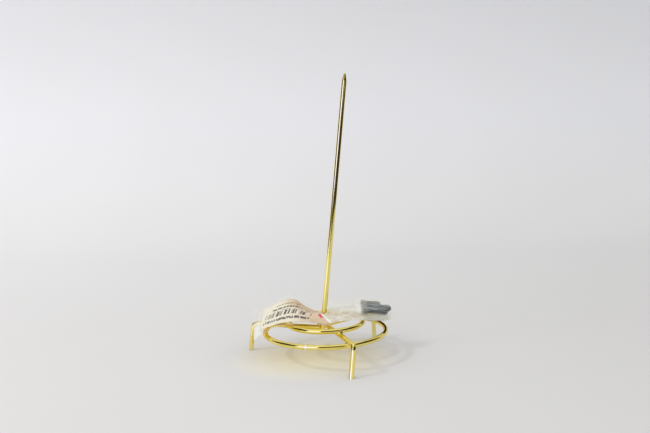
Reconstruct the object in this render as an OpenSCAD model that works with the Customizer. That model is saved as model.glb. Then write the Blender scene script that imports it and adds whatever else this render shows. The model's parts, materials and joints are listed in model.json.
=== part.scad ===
// Bill spike: a leaning wire spike on a welded three-legged base of two rings,
// with the clear packet of foot caps that is pushed down over the spike.
// Millimetres, +Z up, the table is z = 0 and the origin is the middle of the footprint.

/* [Wire] */
// Diameter of the wire that every metal piece is made of
wire_d = 3; // [2.4:0.1:4]
// Depth by which crossing wires are pressed into each other at a weld
weld_set = 0.3; // [0.1:0.05:0.5]
// Diameter of the weld bead where a ring crosses a leg
bead_d = 3.9; // [3.4:0.1:4.6]
// Diameter of the weld bead between a leg's inner end and the spike
hub_bead_d = 2.6; // [2.2:0.1:2.8]
// Distance of that bead from the leg's inner end
hub_bead_in = 1.2; // [0.8:0.1:1.6]

/* [Spike] */
// Height of the point above the table
spike_h = 171; // [120:1:220]
// Lean of the spike from upright, towards the right
spike_lean = 6.4; // [0:0.1:9]
// Length of the ground point
point_l = 4.5; // [3:0.5:12]
// Diameter of the blunted end of the point
point_d = 1.2; // [0.4:0.1:1.6]
// Length of the spike below the centre line of the legs
spike_tail = 2; // [1:0.1:4]
// Distance of the spike's foot from the rings' centre, to the right
hub_x = -1.5; // [-3:0.1:3]
// Distance of the spike's foot from the rings' centre, to the back
hub_y = -0.8; // [-3:0.1:3]

/* [Rings] */
// Radius of the outer ring at the middle of its wire
outer_ring_r = 37; // [33:0.5:40]
// Radius of the inner ring at the middle of its wire
inner_ring_r = 23; // [19:0.5:27]
// Length of the butt weld that closes a ring
seam_l = 1.2; // [0.5:0.1:2]
// Height by which a butt weld stands proud of the wire
seam_proud = 0.2; // [0.05:0.01:0.3]
// Direction of the outer ring's butt weld
outer_seam_angle = -108; // [-115:1:-90]
// Direction of the inner ring's butt weld
inner_seam_angle = 100; // [80:1:120]

/* [Legs] */
// Height of the legs' flat run above the table, at the middle of the wire
leg_h = 18; // [14:0.5:30]
// Length of the flat run from the hub to the corner of the bend
leg_reach = 45.3; // [44:0.1:55]
// Distance of a leg's inner end from the point where it touches the spike
leg_start = 1; // [0:0.1:2]
// Radius of the bend at the middle of the wire
bend_r = 3.6; // [2.5:0.1:4.5]
// Amount by which the wire swells in the bend
bend_swell = 0.05; // [0.04:0.01:0.1]
// Angle by which a foot splays outwards
leg_splay = 11.1; // [0:0.1:16]
// Direction of the left leg
left_angle = 160; // [152:0.5:168]
// Direction of the front leg
front_angle = -71.5; // [-80:0.5:-64]
// Direction of the rear leg
rear_angle = 40; // [32:0.5:48]
// Sideways lean of the left foot
left_lean = -6; // [-12:0.5:12]
// Sideways lean of the front foot
front_lean = -11; // [-12:0.5:12]
// Sideways lean of the rear foot
rear_lean = 9.5; // [-12:0.5:12]

/* [Packet] */
// Length of the packet from the spike to its left end
bag_left = 42.5; // [40:0.5:46]
// Length of the packet from the spike to its right end
bag_right = 44.5; // [44.5:0.5:48]
// Width of the packet in front of the spike
bag_front = 11; // [9:0.5:14]
// Width of the packet behind the spike
bag_back = 22; // [18:0.5:26]
// Turn of the packet about the spike
bag_turn = 4; // [-4:0.5:8]
// Sideways drift of the packet's right half to the back, for each unit of its length
bag_drift = 0.12; // [0:0.01:0.16]
// Height by which the film is drawn up round the spike
gather_h = 4.5; // [0:0.1:5]
// Distance from the spike at which that gather has mostly flattened out
gather_r = 4.5; // [4:0.1:6]
// Thickness of the film as drawn
film_t = 0.25; // [0.15:0.05:0.4]
// Gap between the two films where the packet is empty
film_gap = 0.1; // [0.05:0.05:0.3]
// Clearance round the spike in the hole that it makes in the film
hole_clear = 0.4; // [0.3:0.05:1]
// Clearance of the packet over the inner ring
rest_clear = 0.35; // [0.3:0.05:1]
// Height of the label's ridge at the back edge, above the inner ring
ridge_h = 11.4; // [6:0.2:14]
// Height of the raised back edge of the right half, above the inner ring
fold_h = 6.2; // [4:0.2:10]

/* [Label] */
// Length of the label as it lies
label_l = 37; // [28:0.5:37.5]
// Depth of the label as it lies
label_w = 25; // [16:0.5:25.5]
// Thickness of the label
label_t = 0.15; // [0.1:0.05:0.3]
// Gap between the label and the film below it
label_gap = 0.25; // [0.2:0.05:0.4]
// Turn of the label on the packet
label_turn = -8; // [-9:0.5:0]
// Distance of the label's centre from the spike, to the left
label_x = 18.9; // [18.7:0.1:20]
// Distance of the label's centre from the spike, to the back
label_y = 4.4; // [4.2:0.1:8]

/* [Caps] */
// Length of a cap
cap_l = 16.5; // [12:0.5:16.5]
// Wall of a cap
cap_wall = 0.6; // [0.5:0.1:0.8]
// Amount by which a cap's bore is smaller than the wire that it grips
cap_grip = 0.2; // [0.1:0.05:0.4]
// Distance from the spike to the middle cap's open end
cap_x = 26; // [25:0.1:26]
// Distance by which the front cap lies nearer to the spike
front_short = 2.5; // [0:0.1:3]
// Distance by which the back cap lies nearer to the spike
back_short = 2; // [0:0.1:3]
// Distance of the middle cap behind the packet's line through the spike
cap_y = 1; // [0:0.5:4]
// Free space between neighbouring caps
cap_space = 0.5; // [0.4:0.1:1]
// Clearance round a cap inside the packet
cap_clear = 0.5; // [0.4:0.1:1]

/* [Hidden] */
$fn = 48;

brass = [0.86, 0.73, 0.29];
film_tint = [0.9, 0.91, 0.92, 0.35];
paper = [0.95, 0.93, 0.85];
slate = [0.3, 0.35, 0.4];

hub = [hub_x, hub_y];
leg_angles = [left_angle, front_angle, rear_angle];
leg_leans = [left_lean, front_lean, rear_lean];
// the rings lie one above and one below the legs, pressed in by the weld
ring_step = wire_d - weld_set;
inner_ring_z = leg_h + ring_step;
outer_ring_z = leg_h - ring_step;
// each leg passes beside the spike, pressed into its flank
hub_side = wire_d - weld_set / 2;
bend_turn = 90 - leg_splay;
bend_start = leg_reach - bend_r * tan(bend_turn / 2);
// length by which the straight runs reach into the swollen bend
bend_lap = 0.25;
spike_above = (spike_h - leg_h) / cos(spike_lean);
cut_depth = 20;
// height of the hub's weld beads above the legs' centre line
hub_bead_h = wire_d / 3;

function along(a) = [cos(a), sin(a)];
function aside(a) = [-sin(a), cos(a)];
// start of a leg's centre line beside the hub, in plan
function leg_root(a) = hub + hub_side * aside(a);
// distance along a leg at which it crosses a ring of radius r
function crossing(a, r) =
    let (h = leg_root(a), p = h * along(a))
    sqrt(p * p - h * h + r * r) - p;
// angle that a butt weld takes up in a ring of radius r
function seam_angle_in(r) = seam_l / r * 180 / PI;
// middle of a foot's cut end on the table, in plan
function foot(i) =
    let (a = leg_angles[i], drop = leg_h / cos(leg_leans[i]))
    leg_root(a) + (leg_reach + drop * tan(leg_splay)) * along(a)
        + leg_h * tan(leg_leans[i]) * aside(a);

// length over which the drift of the packet's right half sets in
drift_start = 6;
// middle of the footprint: left foot to right end of the packet, front foot to back of the outer ring
end_drift = bag_drift * bag_right * bag_right / (bag_right + drift_start);
packet_right = hub_x + bag_right * cos(bag_turn)
    + max((bag_front - end_drift) * sin(bag_turn), -(bag_back + end_drift) * sin(bag_turn));
footprint_mid = [
    (foot(0)[0] - wire_d / 2 + packet_right) / 2,
    (foot(1)[1] - wire_d / 2 + outer_ring_r + wire_d / 2) / 2
];

// The packet's lower film is a loft along its length: each station gives the distance from the spike,
// the heights of the front and back edges above the inner ring, the room between the films, and how
// hollow the film is from edge to edge.
rest_z = inner_ring_z + wire_d / 2 + rest_clear;
cap_bore = wire_d - cap_grip;
cap_d = cap_bore + 2 * cap_wall;
cap_pitch = cap_d + cap_space;
// steepest slope of the film under the caps
cap_slope = 20;
// room between the films over the caps, at the middle of the packet's width, and how square it is
puff = 1.2 * (cap_d + cap_clear) + 0.4;
bulge = 4;
// height of the hanging left corner, then of the film at the spike, against the inner ring
left_droop = 0.5 - 2 * ring_step;
hub_dip = -0.6 * ring_step;
hollow_left = 1.3;
hollow_right = 1.15;
stations = [
    [-bag_left, left_droop, 0.9, 0, hollow_left],
    [-(bag_left + inner_ring_r) / 2, left_droop / 2, 0.42 * ridge_h, 0.4, hollow_left],
    [-0.78 * inner_ring_r, 0.05, ridge_h, 0.7, hollow_left],
    [-0.4 * inner_ring_r, 0.05, 0.42 * ridge_h, 0.4, hollow_left],
    [-0.5, hub_dip, 1.5, 0.1, hollow_left],
    [cap_x / 4, 0.05, 1.05 * fold_h, 0.25 * puff, hollow_right],
    [0.58 * cap_x, 0.8, 0.85 * fold_h, 0.5 * puff, hollow_right],
    [0.9 * cap_x, 0.3, 0.88 * fold_h, puff, hollow_right],
    [cap_x + 0.4 * cap_l, -0.2, 0.85 * fold_h, puff, hollow_right],
    [cap_x + cap_l - cap_d / 4, -0.6, 0.52 * fold_h, puff, hollow_right],
    [bag_right, -0.8, 0.35 * fold_h, 0, hollow_right]
];
film_steps = 52;
film_rows = 14;
label_steps = 26;
label_rows = 12;

last = len(stations) - 1;
function slope(i, k) =
    let (a = stations[max(i - 1, 0)], b = stations[min(i + 1, last)])
    (b[k] - a[k]) / (b[0] - a[0]);
// smooth curve from station i to the next, with u from 0 to 1
function blend(i, k, u) =
    let (a = stations[i], b = stations[i + 1], w = b[0] - a[0], v = 1 - u)
    a[k] * (1 + 2 * u) * v * v + b[k] * (1 + 2 * v) * u * u
        + w * u * v * (slope(i, k) * v - slope(i + 1, k) * u);
function at_station(s, k, i = 0) =
    i == last - 1 || s < stations[i + 1][0]
        ? blend(i, k, (s - stations[i][0]) / (stations[i + 1][0] - stations[i][0]))
        : at_station(s, k, i + 1);
function share(t) = min(1, max(0, (t + bag_front) / (bag_front + bag_back)));
// height to which the film is drawn up round the spike
pierce_s = (rest_z - leg_h) * tan(spike_lean);
function gather(s, t) = gather_h * exp(-(pow(s - pierce_s, 2) + t * t) / (2 * gather_r * gather_r));
// underside of the lower film, s along the packet and t across it
function low(s, t) =
    let (front = at_station(s, 1), back = at_station(s, 2))
    rest_z + front + (back - front) * pow(share(t), at_station(s, 4)) + gather(s, t);
// underside of the upper film
function high(s, t) =
    low(s, t) + film_t + film_gap + max(0, at_station(s, 3)) * (1 - pow(abs(2 * share(t) - 1), bulge));
// drift of the packet to the back, in its right half
function drift(s) = s > 0 ? bag_drift * s * s / (s + drift_start) : 0;
function label_along(a, b) = -label_x + a * cos(label_turn) - b * sin(label_turn);
function label_across(a, b) = label_y + a * sin(label_turn) + b * cos(label_turn);

module placed() translate([-footprint_mid[0], -footprint_mid[1], 0]) children();

module on_hub(angle = 0) translate([hub[0], hub[1], 0]) rotate([0, 0, angle]) children();

module ring_wire(r, z, d = wire_d, turn = 360)
    translate([0, 0, z]) rotate_extrude(angle = turn) translate([r, 0]) circle(d = d);

// wire ring with the gap that its butt weld fills
module open_ring(r, z, seam_angle) {
    gap = seam_angle_in(r);
    rotate([0, 0, seam_angle + gap / 2]) ring_wire(r, z, wire_d, 360 - gap);
}

module ring_seam(r, z, seam_angle) {
    gap = seam_angle_in(r);
    rotate([0, 0, seam_angle - gap / 2]) ring_wire(r, z, wire_d + 2 * seam_proud, gap);
}

module spike_rod(clear = 0)
    on_hub() translate([0, 0, leg_h]) rotate([0, spike_lean, 0]) translate([0, 0, -spike_tail])
        cylinder(d = wire_d + 2 * clear, h = spike_tail + spike_above - point_l);

module spike_point()
    on_hub() translate([0, 0, leg_h]) rotate([0, spike_lean, 0])
    translate([0, 0, spike_above - point_l]) {
        cylinder(d1 = wire_d, d2 = point_d, h = point_l - point_d / 2);
        translate([0, 0, point_l - point_d / 2]) sphere(d = point_d);
    }

// one leg before it is cut: flat run, bend and foot in one plane that leans about the run
module leg_wire(i)
    on_hub(leg_angles[i]) translate([0, hub_side, leg_h]) rotate([leg_leans[i], 0, 0]) {
        translate([leg_start, 0, 0]) rotate([0, 90, 0])
            cylinder(d = wire_d, h = bend_start - leg_start + bend_lap);
        translate([bend_start, 0, -bend_r]) {
            rotate([90, 0, 0]) rotate([0, 0, 90 - bend_turn]) rotate_extrude(angle = bend_turn)
                translate([bend_r, 0]) circle(d = wire_d + bend_swell);
            translate([bend_r * sin(bend_turn), 0, bend_r * cos(bend_turn)])
                rotate([0, 90 + bend_turn, 0]) translate([0, 0, -bend_lap])
                    cylinder(d = wire_d, h = leg_h + wire_d);
        }
    }

// leg with its foot cut level and the saddles that the welds press into it
module leg(i)
    difference() {
        leg_wire(i);
        translate([-2 * leg_reach, -2 * leg_reach, -cut_depth])
            cube([4 * leg_reach, 4 * leg_reach, cut_depth]);
        ring_wire(inner_ring_r, inner_ring_z);
        ring_wire(outer_ring_r, outer_ring_z);
        spike_rod();
    }

module ring_welds(r, z)
    for (i = [0 : 2]) {
        p = leg_root(leg_angles[i]) + crossing(leg_angles[i], r) * along(leg_angles[i]);
        difference() {
            translate([p[0], p[1], (leg_h + z) / 2]) sphere(d = bead_d);
            leg_wire(i);
            ring_wire(r, z);
        }
    }

// closed thin solid between a grid of points and the same grid raised by t
module sheet(grid, t) {
    n = len(grid);
    m = len(grid[0]);
    function id(i, j, k) = k * n * m + i * m + j;
    points = [for (k = [0, 1]) for (row = grid) for (p = row) [p[0], p[1], p[2] + k * t]];
    skins = [for (i = [0 : n - 2]) for (j = [0 : m - 2]) each [
        [id(i, j, 1), id(i, j + 1, 1), id(i + 1, j, 1)],
        [id(i + 1, j, 1), id(i, j + 1, 1), id(i + 1, j + 1, 1)],
        [id(i, j, 0), id(i + 1, j, 0), id(i, j + 1, 0)],
        [id(i + 1, j, 0), id(i + 1, j + 1, 0), id(i, j + 1, 0)]]];
    ends = [for (i = [0 : n - 2]) each [
        [id(i, 0, 0), id(i, 0, 1), id(i + 1, 0, 0)],
        [id(i + 1, 0, 0), id(i, 0, 1), id(i + 1, 0, 1)],
        [id(i, m - 1, 0), id(i + 1, m - 1, 0), id(i, m - 1, 1)],
        [id(i + 1, m - 1, 0), id(i + 1, m - 1, 1), id(i, m - 1, 1)]]];
    sides = [for (j = [0 : m - 2]) each [
        [id(0, j, 0), id(0, j + 1, 0), id(0, j, 1)],
        [id(0, j + 1, 0), id(0, j + 1, 1), id(0, j, 1)],
        [id(n - 1, j, 0), id(n - 1, j, 1), id(n - 1, j + 1, 0)],
        [id(n - 1, j + 1, 0), id(n - 1, j, 1), id(n - 1, j + 1, 1)]]];
    polyhedron(points, concat(skins, ends, sides));
}

function film_grid(upper) = [for (i = [0 : film_steps]) [for (j = [0 : film_rows])
    let (s = -bag_left + (bag_left + bag_right) * i / film_steps,
        t = -bag_front + (bag_front + bag_back) * j / film_rows)
    [s, t + drift(s), upper ? high(s, t) : low(s, t)]]];

// one wall of the packet, pierced by the spike
module film(upper)
    difference() {
        on_hub(bag_turn) sheet(film_grid(upper), film_t);
        spike_rod(hole_clear);
    }

// greatest height of the lower film over the straight line between a cap's two ends
function cap_rise(a, b, t) = max([for (u = [0 : 1 / 6 : 1])
    low(a + u * (b - a), t) - (1 - u) * low(a, t) - u * low(b, t)]);

// a cap lies on the lower film, open end towards the spike and round end towards the packet's end
module cap(row, short) {
    t = cap_y + row * cap_pitch;
    a = cap_x - short;
    b = a + cap_l;
    lie = film_t + cap_clear + cap_d / 2 / cos(cap_slope) + cap_rise(a, b, t);
    droop = atan((low(a, t) - low(b, t)) / cap_l);
    swing = atan((drift(b) - drift(a)) / cap_l);
    on_hub(bag_turn) translate([a, t + drift(a), low(a, t) + lie]) rotate([0, 90 + droop, swing])
        difference() {
            union() {
                cylinder(d = cap_d, h = cap_l - cap_d / 2);
                translate([0, 0, cap_l - cap_d / 2]) sphere(d = cap_d);
            }
            translate([0, 0, -1]) cylinder(d = cap_bore, h = cap_l - cap_d / 2 + 1);
        }
}

module spike() color(brass) placed() {
    spike_rod();
    spike_point();
}

module leg_left() color(brass) placed() leg(0);
module leg_front() color(brass) placed() leg(1);
module leg_rear() color(brass) placed() leg(2);

module inner_ring() color(brass) placed() open_ring(inner_ring_r, inner_ring_z, inner_seam_angle);
module outer_ring() color(brass) placed() open_ring(outer_ring_r, outer_ring_z, outer_seam_angle);
module inner_ring_seam() color(brass) placed() ring_seam(inner_ring_r, inner_ring_z, inner_seam_angle);
module outer_ring_seam() color(brass) placed() ring_seam(outer_ring_r, outer_ring_z, outer_seam_angle);
module inner_ring_welds() color(brass) placed() ring_welds(inner_ring_r, inner_ring_z);
module outer_ring_welds() color(brass) placed() ring_welds(outer_ring_r, outer_ring_z);

module spike_welds() color(brass) placed()
    for (i = [0 : 2]) {
        a = leg_angles[i];
        p = hub + wire_d / 2 * aside(a) + (leg_start + hub_bead_in) * along(a);
        difference() {
            translate([p[0], p[1], leg_h + hub_bead_h]) sphere(d = hub_bead_d);
            leg_wire(i);
            spike_rod();
        }
    }

module bag_lower_film() color(film_tint) placed() film(false);
module bag_upper_film() color(film_tint) placed() film(true);

function label_grid() = [for (i = [0 : label_steps]) [for (j = [0 : label_rows])
    let (a = label_l * (i / label_steps - 0.5), b = label_w * (j / label_rows - 0.5),
        s = label_along(a, b), t = label_across(a, b))
    [s, t + drift(s), high(s, t) + film_t + label_gap]]];

// paper on the upper film, torn where its end meets the spike
module label() color(paper) placed()
    difference() {
        on_hub(bag_turn) sheet(label_grid(), label_t);
        spike_rod(hole_clear);
    }

module cap_front() color(slate) placed() cap(-1, front_short);
module cap_middle() color(slate) placed() cap(0, 0);
module cap_back() color(slate) placed() cap(1, back_short);

spike();
leg_left();
leg_front();
leg_rear();
inner_ring();
outer_ring();
inner_ring_seam();
outer_ring_seam();
inner_ring_welds();
outer_ring_welds();
spike_welds();
bag_lower_film();
bag_upper_film();
label();
cap_front();
cap_middle();
cap_back();
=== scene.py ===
"""Looks of the bill spike: brass-plated wire, a crumpled clear packet with its label, and vinyl caps."""

import json
import math
import random

import bpy
import numpy
from bpy.props import FloatProperty, FloatVectorProperty, IntProperty, PointerProperty
from mathutils import Matrix, Vector, noise
from mathutils.bvhtree import BVHTree


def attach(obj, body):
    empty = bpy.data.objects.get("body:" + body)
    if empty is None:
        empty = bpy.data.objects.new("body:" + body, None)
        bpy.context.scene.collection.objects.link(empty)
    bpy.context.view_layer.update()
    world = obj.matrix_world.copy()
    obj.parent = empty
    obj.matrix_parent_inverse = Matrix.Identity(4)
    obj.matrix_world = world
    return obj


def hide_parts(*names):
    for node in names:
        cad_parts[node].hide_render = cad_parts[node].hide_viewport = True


bl_info = {
    "name": "Bill spike",
    "version": (1, 0, 0),
    "blender": (4, 5, 0),
    "location": "View3D > Sidebar > Bill spike",
    "description": "Dresses the packed bill spike and sets it on a pale studio floor",
    "category": "Object",
}

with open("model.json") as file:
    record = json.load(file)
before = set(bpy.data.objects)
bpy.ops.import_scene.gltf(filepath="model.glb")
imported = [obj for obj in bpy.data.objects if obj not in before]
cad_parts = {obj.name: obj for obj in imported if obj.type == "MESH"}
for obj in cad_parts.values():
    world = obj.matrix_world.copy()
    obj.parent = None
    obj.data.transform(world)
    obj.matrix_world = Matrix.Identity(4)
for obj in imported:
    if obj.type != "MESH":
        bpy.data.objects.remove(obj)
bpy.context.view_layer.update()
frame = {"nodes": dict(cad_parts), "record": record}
SPIKE_MOUNT = next(mount for mount in frame["record"]["mounts"] if mount["name"] == "spike_shaft")

MM = 0.001
UP = Vector((0.0, 0.0, 1.0))
DOWN = Vector((0.0, 0.0, -1.0))
WIRE_NODES = ("spike", "leg_left", "leg_front", "leg_rear", "inner_ring", "outer_ring")
WELD_NODES = ("inner_ring_welds", "outer_ring_welds", "spike_welds")
SEAM_NODES = ("inner_ring_seam", "outer_ring_seam")
CAP_NODES = ("cap_front", "cap_middle", "cap_back")
# the way that the caps lie, from mouth to tip
CAP_WAY = (0.967, 0.182, -0.18)
# the spike's foot and the turn of the packet about it, as in the part's source
HUB = Vector((1.451 * MM, 4.39 * MM, 0.0))
PACKET_TURN = math.radians(4.0)
PACKET_DRIFT, DRIFT_START = 0.12, 6.0 * MM
# thickness of the film in the solids
FILM_DRAWN = 0.25 * MM
# the label's turn, the middle of it along and across the packet, and its length and width
LABEL_TURN = math.radians(-8.0)
LABEL_MID = (-18.9 * MM, 3.5 * MM)
LABEL_SIZE = (37.0 * MM, 23.2 * MM)
# how much longer the label is at its front corner, and from its middle to the back, where it is torn
LABEL_END = (5.5 * MM, -2.5 * MM)
# cells of the label's mesh, and how far round a point the stiff paper keeps clear of the film
LABEL_CELLS = (72, 46)
LABEL_CLEAR = 0.5 * MM
# waves round the edge of the tear: height as a share of its radius, number and turn
TEAR_WAVES = ((0.12, 3.0, 0.7), (0.08, 7.0, 0.0))
# range that most of a noise's heights lie in
NOISE_SPAN = (0.3, 0.7)


def colour(text, value):
    """A colour setting, in linear light."""
    return FloatVectorProperty(description="Colour " + text, default=value, size=3, min=0.0, max=1.0,
                               subtype="COLOR")


def length(text, value):
    """A length setting, in metres."""
    return FloatProperty(description=text, default=value, min=0.0, unit="LENGTH", precision=5)


def share(text, value):
    """A setting from none to all."""
    return FloatProperty(description=text, default=value, min=0.0, max=1.0, subtype="FACTOR")


def number(text, value, least=0.0, unit="NONE"):
    """A setting with no greatest value."""
    return FloatProperty(description=text, default=value, min=least, unit=unit)


class BrassSettings(bpy.types.PropertyGroup):
    """Finish of the plated wire."""

    bright: colour("of the sound plating", (0.95, 0.81, 0.24))
    deep: colour("where the plating is thicker", (0.91, 0.74, 0.14))
    # painted reflection: a deeper yellow on the wires under the packet that stands in for the wires mirroring
    # one another there
    sheltered: colour("of the wire under the packet", (0.87, 0.66, 0.05))
    painted_reflection_share: share("Strength of that colour", 0.9)
    # painted reflection: a paler colour on the left and rear feet that stands in for brighter light mirrored
    # in them
    foot: colour("of the rubbed left and rear feet", (1.0, 0.93, 0.55))
    foot_painted_light_share: share("Strength of that colour", 0.45)
    # partly the weld metal's own paler colour and partly a painted highlight that shows the seam as a bright
    # line
    seam: colour("of the rings' ground butt welds", (0.98, 0.93, 0.72))
    seam_and_highlight_share: share("Strength of that colour", 0.85)
    edge: colour("of the plating's mirror image at a grazing angle", (1.0, 0.86, 0.42))
    tarnish: colour("of the dulled specks", (0.42, 0.28, 0.07))
    rough: share("Roughness of the polished wire", 0.08)
    weld_rough: share("Roughness of the weld metal under the plating", 0.26)
    lacquer: share("Amount of clear lacquer over the plating", 0.7)
    wave: length("Height of the slow waves in the drawn wire", 0.05 * MM)


class FilmSettings(bpy.types.PropertyGroup):
    """Shape and finish of the packet's film."""

    tint: colour("of the film's haze", (0.93, 0.92, 0.90))
    # partly the gathered film's haze and partly painted shade
    murk_and_shade_tint: colour("of the film where it is gathered", (0.60, 0.54, 0.39))
    shade_tint: colour("of the film in the shade of the caps", (0.56, 0.55, 0.47))
    haze: share("How much of what lies behind it the smooth film hides", 0.05)
    murk: share("How much more the gathered film hides", 0.60)
    milk: share("Whiteness of the front left corner, where both walls cling", 0.95)
    shine_tint: colour("of the film's mirror image", (1.0, 0.95, 0.62))
    shine: share("Strength of the film's mirror image", 0.35)
    rough: share("Roughness of the film's shine", 0.2)
    taut_start: length("How far from the spike the film is drawn over the caps", 8.0 * MM)
    taut_gap: length("Gap that the drawn film keeps from a cap", 0.35 * MM)
    slack: length("How far the caps may lift the film over them", 2.2 * MM)
    step: length("Distance between the points of the film's mesh", 0.6 * MM)
    crease: length("Greatest height of a crease", 0.55 * MM)
    creases: IntProperty(description="Number of creases in each wall", default=26, min=0)
    hole: length("Mean radius of the tear round the spike", 2.0 * MM)
    seed: IntProperty(description="Start of the random creases", default=5)


class LabelSettings(bpy.types.PropertyGroup):
    """Shape and finish of the label."""

    paper: colour("of the paper", (0.86, 0.80, 0.64))
    ink: colour("of the dark print", (0.035, 0.033, 0.035))
    blush: colour("of the pale printed field", (0.69, 0.485, 0.335))
    # painted warm shade on the back of the label's right half, which turns away from the light, and on its
    # front right corner
    tan: colour("of the far corner of that field", (0.62, 0.42, 0.23))
    shade_tan_share: share("Strength of that colour", 0.75)
    red: colour("of the red patch", (0.72, 0.06, 0.10))
    thickness: length("Thickness of the paper", 0.12 * MM)
    lift: length("Gap between the label and the film", 0.12 * MM)


class CapSettings(bpy.types.PropertyGroup):
    """Finish of the vinyl caps."""

    vinyl: colour("of the vinyl", (0.045, 0.062, 0.070))
    bloom: colour("of the dusty bloom on it", (0.42, 0.46, 0.46))
    dust: share("Amount of bloom on the front and the middle cap", 0.04)
    # the back cap's bloom is partly dust and partly a painted highlight
    back_bloom_and_highlight: share("Amount of bloom on the back cap", 0.5)
    # the pale lines are painted highlights
    lines: share("Strength of the pale lines along a cap", 0.80)
    rough: share("Roughness of the vinyl", 0.42)
    tilt: length("How much higher a cap's mouth lies than in the flat packet", 1.1 * MM)
    shift: length("How far the caps have slid to the packet's end", 0.8 * MM)
    lag: length("How much shorter the back cap lies", 4.0 * MM)
    wall: length("Thickness of a cap's wall", 0.6 * MM)


class StageSettings(bpy.types.PropertyGroup):
    """Floor, light and camera."""

    # painted light: the floor and backdrop are lighter at the left, where the light comes from; the floor
    # pales towards its bend and the backdrop darkens towards its top
    floor: colour("of the floor at the right", (0.69, 0.685, 0.673))
    floor_left: colour("of the floor at the left", (0.81, 0.80, 0.79))
    floor_far: colour("that the floor pales to at its bend", (0.95, 0.95, 0.96))
    wall: colour("of the backdrop at the right", (0.738, 0.743, 0.768))
    wall_left: colour("of the backdrop at the left", (0.86, 0.86, 0.89))
    wall_top: colour("that the backdrop darkens to at its top", (0.50, 0.50, 0.53))
    # painted light: a warm glow painted on the floor for the brass's reflected light
    glow: colour("of the brass's glow on the floor", (1.0, 0.94, 0.67))
    painted_glow_share: share("Strength of that glow", 0.70)
    cloud: colour("of the faint clouds in the paper", (0.6, 0.59, 0.57))
    cloud_share: share("Strength of those clouds", 0.04)
    room: colour("of the surroundings that metal and film show", (0.90, 0.90, 0.92))
    far: colour("that is seen past the floor's edges", (0.74, 0.74, 0.745))
    card: colour("of the pale cards beside the object", (0.63, 0.66, 1.0))
    card_light: number("Brightness of those cards", 1.8)
    warm: colour("of the brass's light that the wires show each other", (0.64, 0.51, 0.05))
    window: colour("of the window that the metal shows", (0.24, 0.265, 1.0))
    window_light: number("Brightness of that window", 5.6)
    flag: colour("of the dark cards that give the metal its edges", (0.035, 0.03, 0.025))
    fill: number("Strength of the light from all round", 0.93)
    key: number("Power of the lamp at the front left", 3.5, unit="POWER")
    side: number("Power of the small lamp at the left", 2.4, unit="POWER")
    lens: number("Focal length of the camera", 45.415, least=1.0, unit="CAMERA")


class Tree:
    """Short calls for building a node tree."""

    def __init__(self, owner):
        owner.use_nodes = True
        self.tree = owner.node_tree
        self.tree.nodes.clear()

    def fill(self, socket, value):
        """Links another socket to an input, or sets its value."""
        if isinstance(value, bpy.types.NodeSocket):
            self.tree.links.new(value, socket)
        elif socket.type == "RGBA":
            socket.default_value = (*value, 1.0)
        else:
            socket.default_value = value

    def add(self, kind, values=None, **settings):
        """A node with its settings and its input values; a value that is a socket is linked."""
        made = self.tree.nodes.new(kind)
        for name, value in settings.items():
            setattr(made, name, value)
        for name, value in (values or {}).items():
            self.fill(made.inputs[name], value)
        return made

    def place(self):
        """Place in the object's own frame."""
        return self.add("ShaderNodeTexCoord").outputs["Object"]

    def split(self, vector):
        """The three parts of a vector."""
        return self.add("ShaderNodeSeparateXYZ", {0: vector}).outputs

    def mark(self, name):
        """A number that the mesh holds at each of its points."""
        return self.add("ShaderNodeAttribute", attribute_name=name).outputs["Fac"]

    def math(self, operation, *values, clamp=False):
        """The result of a Math node on numbers and sockets."""
        made = self.add("ShaderNodeMath", dict(enumerate(values)), operation=operation, use_clamp=clamp)
        return made.outputs[0]

    def product(self, first, *others):
        """The product of numbers and sockets."""
        for other in others:
            first = self.math("MULTIPLY", first, other)
        return first

    def vector(self, operation, *values):
        """The vector that a Vector Math node gives."""
        return self.add("ShaderNodeVectorMath", dict(enumerate(values)), operation=operation).outputs[0]

    def measure(self, operation, *values):
        """The number that a Vector Math node gives."""
        made = self.add("ShaderNodeVectorMath", dict(enumerate(values)), operation=operation)
        return made.outputs["Value"]

    def blend(self, amount, first, second):
        """The colour that lies between two colours."""
        made = self.add("ShaderNodeMix", data_type="RGBA")
        sockets = {socket.identifier: socket for socket in made.inputs}
        for name, value in (("Factor_Float", amount), ("A_Color", first), ("B_Color", second)):
            self.fill(sockets[name], value)
        return next(socket for socket in made.outputs if socket.identifier == "Result_Color")

    def ramp(self, amount, low, high, start=0.0, end=1.0):
        """A number carried from the range low to high into the range start to end, held at its ends."""
        values = {"Value": amount, "From Min": low, "From Max": high, "To Min": start, "To Max": end}
        return self.add("ShaderNodeMapRange", values, clamp=True).outputs[0]

    def band(self, value, low, high, soft=0.15):
        """1 between two values, with soft ends, and 0 outside them."""
        inside = self.ramp(value, low - soft, low + soft)
        return self.product(inside, self.ramp(value, high - soft, high + soft, 1.0, 0.0))

    def dashes(self, value, width, shift, keep):
        """1 on a random share of the equal steps of a value, and 0 on the others."""
        step = self.math("FLOOR", self.math("DIVIDE", self.math("ADD", value, shift), width))
        chance = self.add("ShaderNodeTexWhiteNoise", {"W": step}, noise_dimensions="1D").outputs[0]
        return self.math("LESS_THAN", chance, keep)

    def noise(self, place, scale, detail=2.0, roughness=0.5):
        """The height of a noise texture."""
        values = {"Vector": place, "Scale": scale, "Detail": detail, "Roughness": roughness}
        return self.add("ShaderNodeTexNoise", values).outputs["Fac"]

    def bump(self, height, distance, strength=1.0, under=None):
        """A normal bent by a height."""
        values = {"Height": height, "Distance": distance, "Strength": strength}
        if under is not None:
            values["Normal"] = under
        return self.add("ShaderNodeBump", values).outputs[0]

    def finish(self, shader):
        """Joins the shader to the output."""
        self.add("ShaderNodeOutputMaterial", {"Surface": shader.outputs[0]})

    def surface(self, values):
        """Joins a Principled shader to the output."""
        self.finish(self.add("ShaderNodeBsdfPrincipled", values))


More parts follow.
